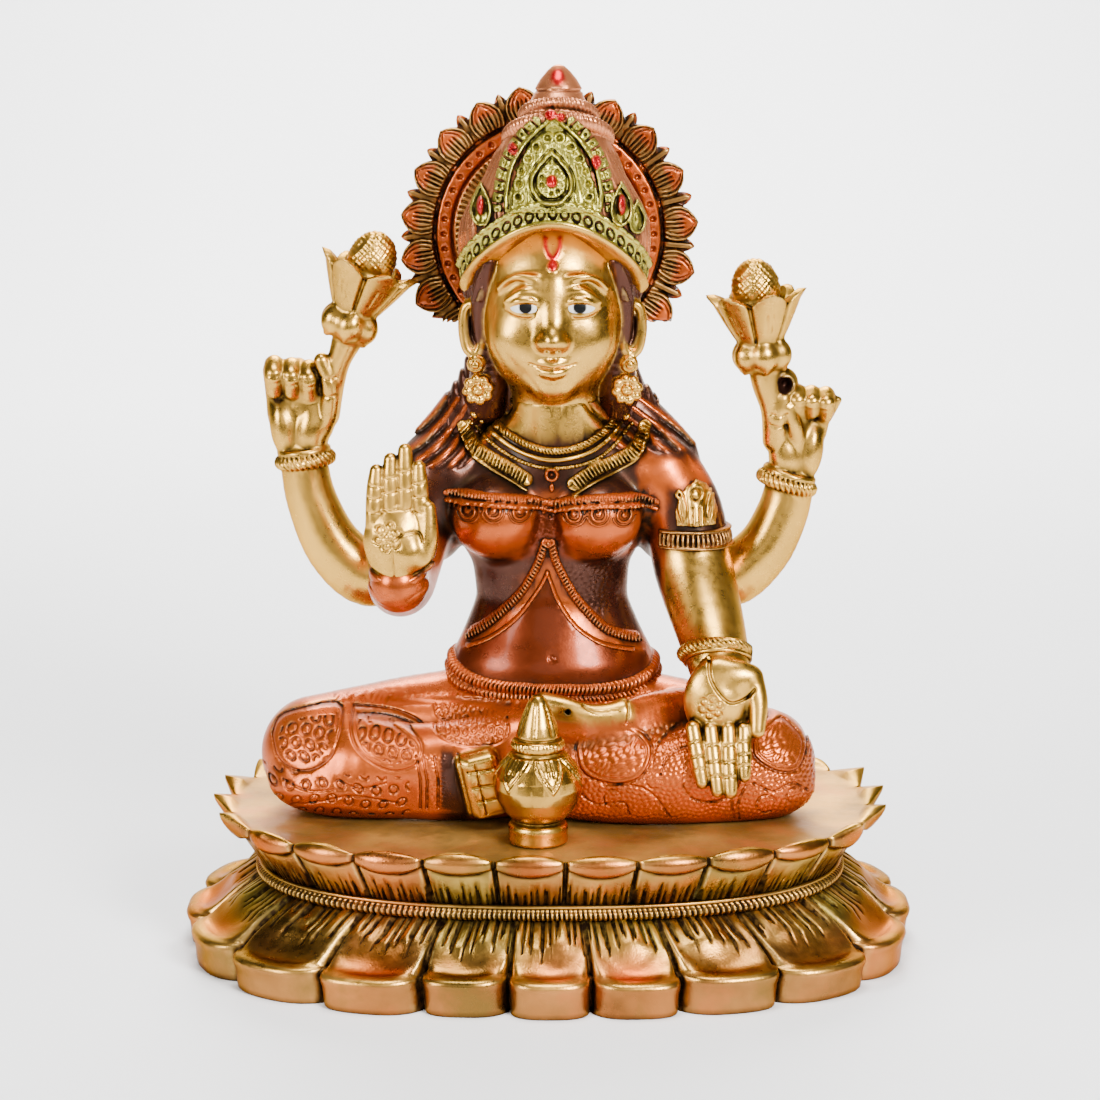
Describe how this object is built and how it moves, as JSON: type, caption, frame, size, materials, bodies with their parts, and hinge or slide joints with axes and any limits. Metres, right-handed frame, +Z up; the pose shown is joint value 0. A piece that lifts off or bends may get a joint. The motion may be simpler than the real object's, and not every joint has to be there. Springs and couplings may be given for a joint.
{
  "type": "seated lakshmi figure",
  "caption": "Cast brass goddess seated cross-legged on a double lotus base, two hands holding lotuses, with a petalled halo and a small water pot; a shrine or shelf ornament.",
  "frame": {"origin": "on the surface it stands on, under the middle of the lotus base", "axes": "+Z up, the goddess faces -Y, +X to the viewer's right"},
  "size_m": [0.225, 0.165, 0.273],
  "materials": {
    "base_brass": "satin antiqued brass, dark in the hollows, with copper and green-gold lacquer on the petals",
    "lacquered_brass": "glossy copper-red and dark brown lacquer over cast brass, with polished gold skin",
    "halo_copper": "copper lacquer with gold petal edges and near-black hollows",
    "polished_brass": "polished gold-coloured brass with darkened engraving"
  },
  "bodies": {
    "root": {"lotus_base": "base_brass", "figure": "lacquered_brass", "halo": "halo_copper", "water_pot": "polished_brass"}
  },
  "joints": []
}
